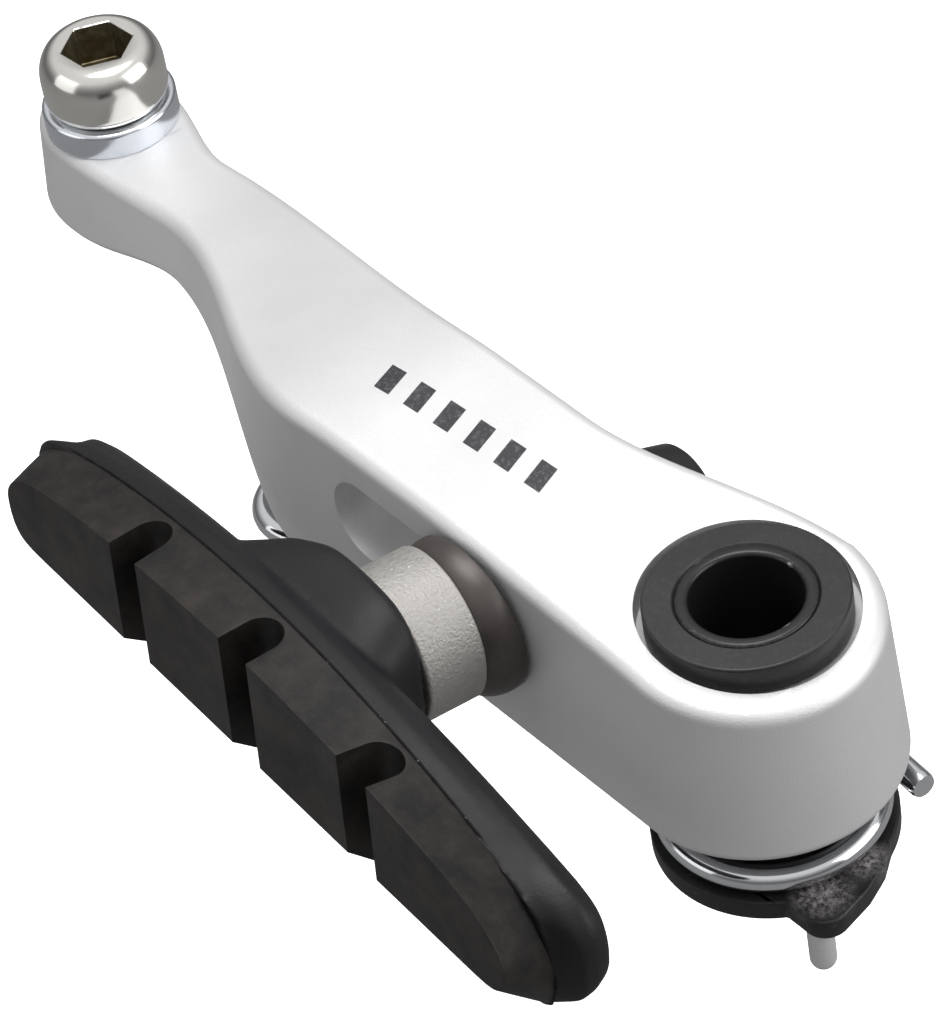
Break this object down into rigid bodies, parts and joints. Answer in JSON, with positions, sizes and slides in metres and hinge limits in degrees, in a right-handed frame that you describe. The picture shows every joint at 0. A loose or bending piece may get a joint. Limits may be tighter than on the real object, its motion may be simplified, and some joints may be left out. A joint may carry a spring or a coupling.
{
  "type": "linear-pull rim brake arm",
  "caption": "Linear-pull rim brake arm with its pivot bush, return spring, cable clamp bolt and an adjustable brake shoe with spherical washers.",
  "frame": {"origin": "on the pivot axis, at the rear end of the pivot tube, where it meets the shoulder of the frame's boss", "axes": "+Z along the pivot axis towards the front of the bicycle, +X along the arm towards the cable bolt, +Y towards the rim"},
  "size_m": [0.1048, 0.0454, 0.0298],
  "materials": {
    "arm_silver": "satin silver paint over cast aluminium",
    "tube_black": "satin black turned steel",
    "flange_black": "satin black turned steel",
    "bearing_resin": "plain bearing resin",
    "steel_zinc": "zinc-plated",
    "holder_resin": "black resin, slightly scuffed",
    "pin_steel": "bare steel",
    "spring_steel": "polished spring wire",
    "bolt_nickel": "nickel-plated",
    "washer_zinc": "bright zinc-plated",
    "shoe_rubber": "matt moulded rubber",
    "plate_steel": "plain steel, moulded in",
    "spacer_steel": "sandblasted",
    "dome_steel": "dark turned steel",
    "nut_black": "black oxide"
  },
  "bodies": {
    "hub": {"pivot_tube": "tube_black", "front_flange": "flange_black", "rear_washer": "steel_zinc", "spring_holder": "holder_resin", "stopper_pin": "pin_steel", "return_spring": "spring_steel"},
    "arm": {"arm": "arm_silver", "bearing_sleeve": "bearing_resin", "hook_pin": "pin_steel", "hook_sleeve": "holder_resin", "cable_washer": "washer_zinc"},
    "cable_bolt": {"cable_bolt": "bolt_nickel"},
    "tension_screw": {"tension_screw": "steel_zinc"},
    "domes": {"inner_dome": "dome_steel", "outer_dome": "steel_zinc"},
    "stud_washers": {"spacer": "spacer_steel", "outer_cup": "steel_zinc", "flat_washer": "steel_zinc"},
    "shoe": {"shoe_rubber": "shoe_rubber", "shoe_plate": "plate_steel", "shoe_stud": "steel_zinc"},
    "shoe_nut": {"shoe_nut": "nut_black"}
  },
  "joints": [
    {"name": "arm_pivot", "type": "hinge", "parent": "hub", "child": "arm", "pos_m": [0, 0, 0], "axis": [0, 0, 1], "range_deg": [-8, 32], "stiffness_Nm_per_rad": 2.3, "deforming": ["return_spring"]},
    {"name": "cable_bolt_turn", "type": "hinge", "parent": "arm", "child": "cable_bolt", "pos_m": [0.0837, -0.00575, 0], "axis": [0, 0, 1], "continuous": true},
    {"name": "tension_screw_turn", "type": "hinge", "parent": "hub", "child": "tension_screw", "pos_m": [0.006, -0.01, 0.00335], "axis": [0, 1, 0], "continuous": true},
    {"name": "shoe_height", "type": "slide", "parent": "arm", "child": "domes", "axis": [1, 0, 0], "range_m": [-0.0013, 0.012]},
    {"name": "shoe_toe_in", "type": "hinge", "parent": "domes", "child": "stud_washers", "pos_m": [0.0179, 0.0071, 0.0175], "axis": [0, 0, 1], "range_deg": [-3.5, 9.5]},
    {"name": "shoe_turn", "type": "hinge", "parent": "stud_washers", "child": "shoe", "pos_m": [0.0179, 0.0071, 0.0175], "axis": [0.0783, 0.9945, 0.0698], "continuous": true},
    {"name": "shoe_nut_turn", "type": "hinge", "parent": "stud_washers", "child": "shoe_nut", "pos_m": [0.0179, 0.0071, 0.0175], "axis": [0.0783, 0.9945, 0.0698], "continuous": true}
  ]
}
